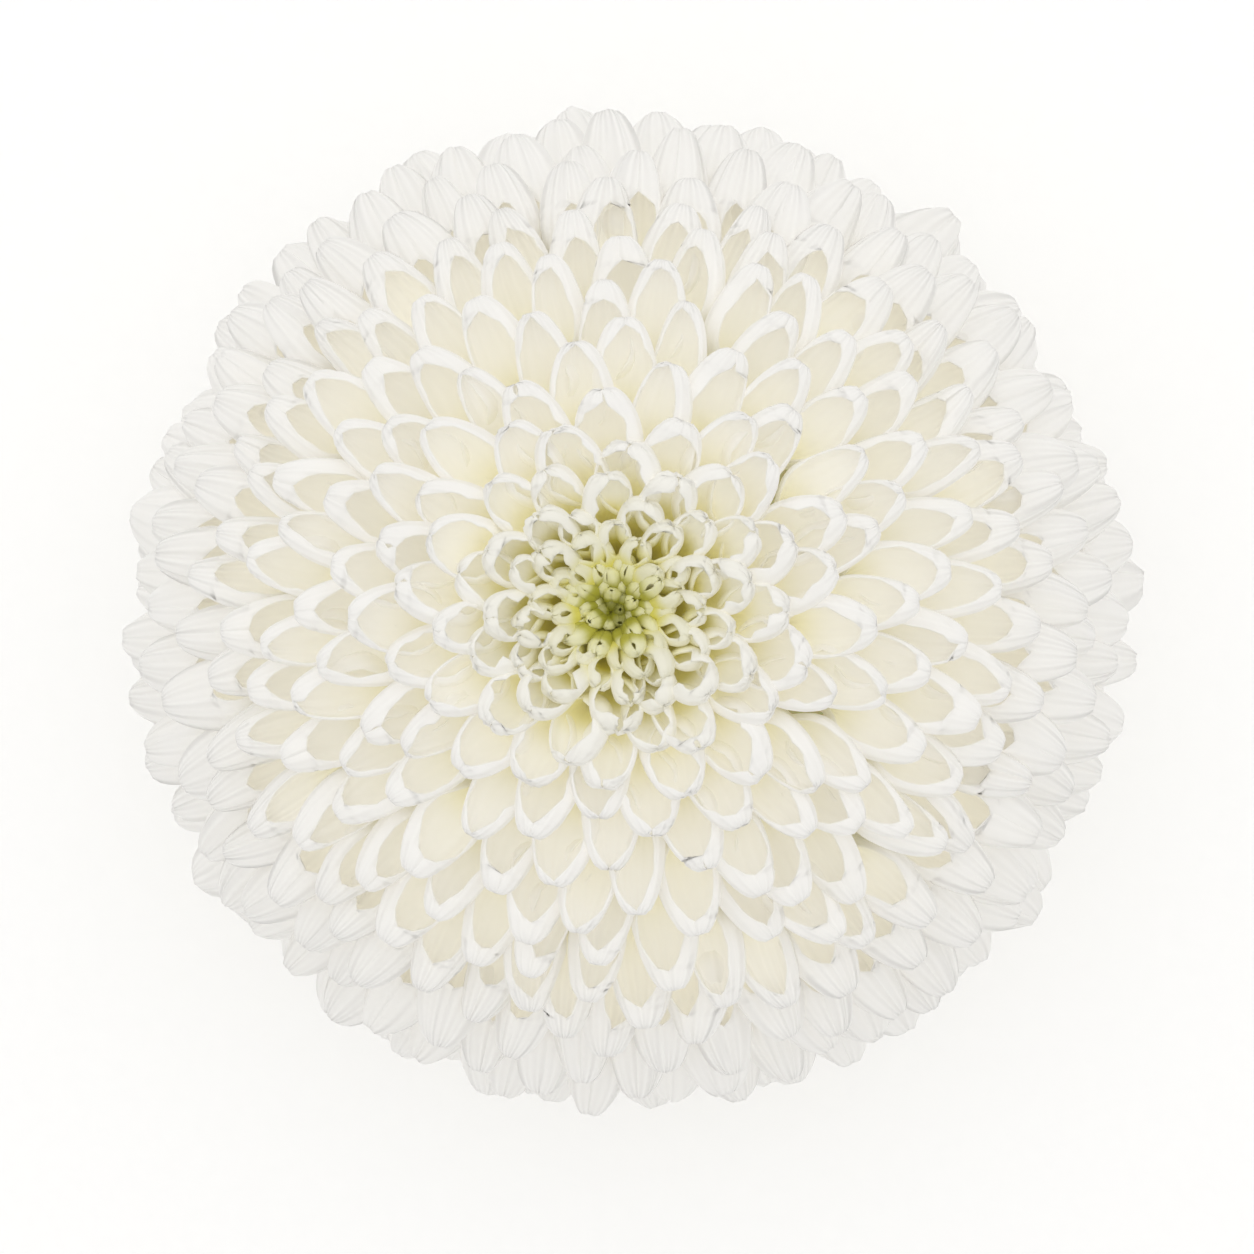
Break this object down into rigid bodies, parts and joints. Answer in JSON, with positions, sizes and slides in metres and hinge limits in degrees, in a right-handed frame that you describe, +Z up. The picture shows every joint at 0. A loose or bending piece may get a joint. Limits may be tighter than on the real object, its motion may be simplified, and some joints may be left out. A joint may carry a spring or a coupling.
{
  "type": "pompon chrysanthemum head",
  "caption": "Head of a white pompon chrysanthemum: a ball of overlapping spoon-shaped florets round a small green eye, picked short and lying face up.",
  "frame": {"origin": "on the surface that the head lies on, under the middle of the ball", "axes": "+Z up through the stem and the green eye; +X and +Y across the head, with no natural front"},
  "size_m": [0.071, 0.0707, 0.0532],
  "materials": {
    "petal_white": "soft, slightly translucent petal",
    "floret_green": "matte, young floret",
    "bract_green": "matte, waxy bract",
    "stem_green": "satin, ribbed stalk"
  },
  "bodies": {
    "root": {"ray_florets": "petal_white", "centre_florets": "floret_green", "involucre": "bract_green", "stem": "stem_green"}
  },
  "joints": []
}
